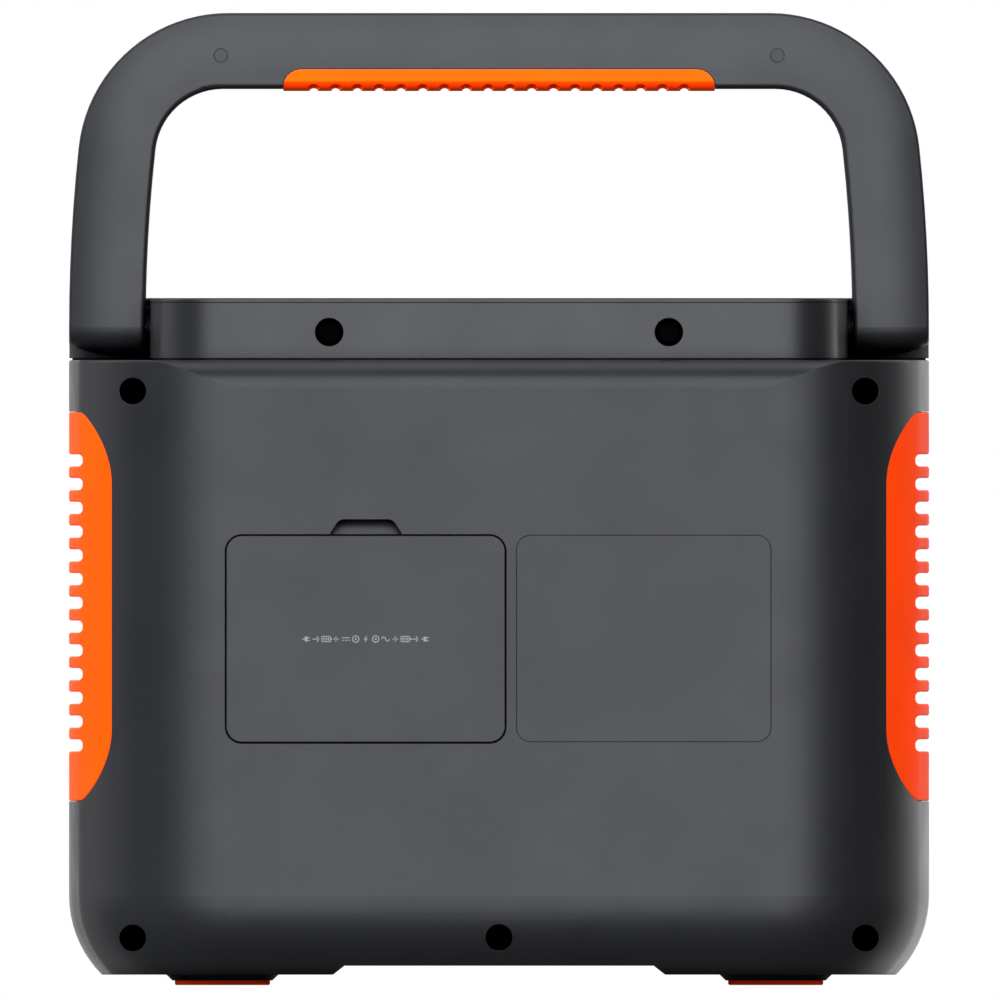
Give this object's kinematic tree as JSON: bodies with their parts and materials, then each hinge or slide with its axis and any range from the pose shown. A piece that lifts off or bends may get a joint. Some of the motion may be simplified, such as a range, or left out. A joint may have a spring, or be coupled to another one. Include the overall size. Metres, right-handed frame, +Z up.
{
  "type": "portable power station",
  "caption": "Portable battery power station with a folding carry handle, ribbed side vents, a control fascia in front and a hinged input door at the back.",
  "frame": {"origin": "centre of the footprint, on the ground under the four feet", "axes": "+Z up, the control fascia faces -Y, the rear with the input door faces +Y, +X is the right-hand side seen from the front"},
  "size_m": [0.356, 0.26, 0.4024],
  "materials": {
    "case_plastic": "fine matte texture",
    "deck_plastic": "fine matte texture",
    "handle_plastic": "fine matte texture",
    "accent_plastic": "satin",
    "accent_rubber": "soft matte",
    "fascia_plastic": "fine matte",
    "button_plastic": "satin",
    "window": "gloss",
    "lamp_diffuser": "frosted",
    "display": "gloss",
    "socket_plastic": "satin",
    "cap_rubber": "matte",
    "steel": "zinc plated",
    "screw_black": "black oxide",
    "bush_plastic": "black nylon",
    "aluminium": "mill",
    "circuit_board": "solder mask",
    "cell_can": "blue film",
    "copper": "plated",
    "label": "matte film",
    "inner_plastic": "matte"
  },
  "bodies": {
    "housing": {"ac_inlet": "socket_plastic", "ac_outlets": "socket_plastic", "battery_cables": "cap_rubber", "battery_cells": "cell_can", "battery_tray": "inner_plastic", "bms_board": "circuit_board", "breaker_body": "socket_plastic", "cap_hinge_pin": "steel", "car_socket_barrel": "socket_plastic", "cell_busbars": "copper", "dc_input_jacks": "socket_plastic", "display_lens": "window", "display_module": "display", "expansion_connector": "socket_plastic", "fan_frames": "socket_plastic", "foot_front_left": "accent_rubber", "foot_front_right": "accent_rubber", "foot_rear_left": "accent_rubber", "foot_rear_right": "accent_rubber", "front_panel": "fascia_plastic", "front_shell": "case_plastic", "heatsink": "aluminium", "hinge_bracket_left": "steel", "hinge_bracket_right": "steel", "hinge_pins": "steel", "hinge_washers": "bush_plastic", "input_bay": "inner_plastic", "inverter_board": "circuit_board", "lamp_lens": "lamp_diffuser", "mounting_plate": "aluminium", "port_cover_pin": "screw_black", "rating_label": "label", "rear_shell": "case_plastic", "shell_screws": "screw_black", "side_grille_left": "accent_plastic", "side_grille_right": "accent_plastic", "switch_board": "circuit_board", "top_cover": "deck_plastic", "top_cover_screws": "screw_black", "transformer": "inner_plastic", "usb_a_ports": "steel", "usb_board": "circuit_board", "usb_c_ports": "steel"},
    "handle": {"handle_rear_cover": "handle_plastic", "handle_front_cover": "handle_plastic", "handle_core": "aluminium", "handle_grip": "accent_rubber", "handle_plugs": "handle_plastic", "handle_screws": "screw_black", "hinge_bushes": "bush_plastic"},
    "port_cover": {"port_cover": "case_plastic"},
    "car_socket_cap": {"car_socket_cap": "cap_rubber"},
    "main_power_button": {"main_power_button": "button_plastic"},
    "ac_button": {"ac_button": "button_plastic"},
    "dc_button": {"dc_button": "button_plastic"},
    "lamp_button": {"lamp_button": "button_plastic"},
    "breaker_button": {"breaker_button": "button_plastic"},
    "fan_rotor_front": {"fan_rotor_front": "socket_plastic"},
    "fan_rotor_rear": {"fan_rotor_rear": "socket_plastic"}
  },
  "joints": [
    {"name": "handle_fold", "type": "hinge", "parent": "housing", "child": "handle", "pos_m": [0, 0, 0.2724], "axis": [-1, 0, 0], "range_deg": [0, 90]},
    {"name": "port_cover_hinge", "type": "hinge", "parent": "housing", "child": "port_cover", "pos_m": [0.0552, 0.1279, 0.1069], "axis": [-1, 0, 0], "range_deg": [0, 90]},
    {"name": "car_socket_cap_hinge", "type": "hinge", "parent": "housing", "child": "car_socket_cap", "pos_m": [0.07, -0.1285, 0.163], "axis": [-1, 0, 0], "range_deg": [0, 110]},
    {"name": "breaker_press", "type": "slide", "parent": "housing", "child": "breaker_button", "axis": [0, -1, 0], "range_m": [0, 0.0015], "stiffness_N_per_m": 300},
    {"name": "main_power_press", "type": "slide", "parent": "housing", "child": "main_power_button", "axis": [0, 1, 0], "range_m": [0, 0.001], "stiffness_N_per_m": 400},
    {"name": "ac_press", "type": "slide", "parent": "housing", "child": "ac_button", "axis": [0, 1, 0], "range_m": [0, 0.001], "stiffness_N_per_m": 400},
    {"name": "dc_press", "type": "slide", "parent": "housing", "child": "dc_button", "axis": [0, 1, 0], "range_m": [0, 0.001], "stiffness_N_per_m": 400},
    {"name": "lamp_press", "type": "slide", "parent": "housing", "child": "lamp_button", "axis": [0, 1, 0], "range_m": [0, 0.001], "stiffness_N_per_m": 400},
    {"name": "fan_spin_front", "type": "hinge", "parent": "housing", "child": "fan_rotor_front", "pos_m": [0.15, -0.042, 0.192], "axis": [1, 0, 0], "continuous": true},
    {"name": "fan_spin_rear", "type": "hinge", "parent": "housing", "child": "fan_rotor_rear", "pos_m": [0.15, 0.042, 0.192], "axis": [1, 0, 0], "continuous": true}
  ]
}
